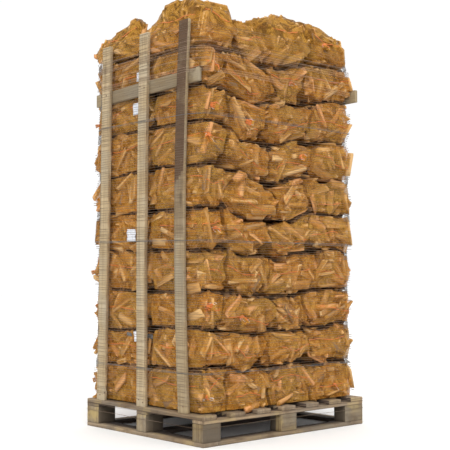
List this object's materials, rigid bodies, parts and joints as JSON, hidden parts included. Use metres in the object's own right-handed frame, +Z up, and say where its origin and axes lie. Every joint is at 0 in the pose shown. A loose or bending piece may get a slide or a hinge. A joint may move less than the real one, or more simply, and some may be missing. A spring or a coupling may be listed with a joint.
{
  "type": "pallet of kindling",
  "caption": "Tall pallet load of kindling: net bags of split sticks in layers on a wooden block pallet, held at both ends by upright boards and a rail under a net wrap.",
  "frame": {"origin": "on the floor under the middle of the pallet, the bottom centre of the bounding box", "axes": "+Z up, +X along the pallet's long side from the left end with the nearer stakes to the right end, +Y from the front long side to the back"},
  "size_m": [1.2, 1, 2.2974],
  "materials": {
    "weathered_board": "grey-brown weathered sawn softwood, rough",
    "pallet_block": "weathered sawn block with end grain, rough",
    "pale_board": "pale fresh sawn softwood, rough",
    "netted_kindling": "golden orange open knitted net over split sticks",
    "kindling_stick": "split softwood, pale tan, rough",
    "drawstring": "orange twisted cord",
    "wrap_net": "fine clear white pallet net",
    "tag": "plain white bag label, blank",
    "nail": "dull rusted nail heads"
  },
  "bodies": {
    "root": {"base_left": "weathered_board", "base_right": "weathered_board", "base_front": "weathered_board", "base_middle": "weathered_board", "base_back": "weathered_board", "block_left_front": "pallet_block", "block_left_middle": "pallet_block", "block_left_back": "pallet_block", "block_middle_front": "pallet_block", "block_middle_middle": "pallet_block", "block_middle_back": "pallet_block", "block_right_front": "pallet_block", "block_right_middle": "pallet_block", "block_right_back": "pallet_block", "stringer_front": "weathered_board", "stringer_middle": "weathered_board", "stringer_back": "weathered_board", "deck_board_1": "weathered_board", "deck_board_2": "weathered_board", "deck_board_3": "weathered_board", "deck_board_4": "weathered_board", "deck_board_5": "weathered_board", "deck_board_6": "weathered_board", "deck_board_7": "weathered_board", "stake_left_front": "pale_board", "stake_left_middle": "pale_board", "stake_left_back": "pale_board", "rail_left": "pale_board", "stake_right_front": "pale_board", "stake_right_middle": "pale_board", "stake_right_back": "pale_board", "rail_right": "pale_board", "bags_front_01": "netted_kindling", "bags_back_01": "netted_kindling", "bags_front_02": "netted_kindling", "bags_back_02": "netted_kindling", "bags_front_03": "netted_kindling", "bags_back_03": "netted_kindling", "bags_front_04": "netted_kindling", "bags_back_04": "netted_kindling", "bags_front_05": "netted_kindling", "bags_back_05": "netted_kindling", "bags_front_06": "netted_kindling", "bags_back_06": "netted_kindling", "bags_front_07": "netted_kindling", "bags_back_07": "netted_kindling", "bags_front_08": "netted_kindling", "bags_back_08": "netted_kindling", "bags_front_09": "netted_kindling", "bags_back_09": "netted_kindling", "bags_front_10": "netted_kindling", "bags_back_10": "netted_kindling"}
  },
  "joints": []
}
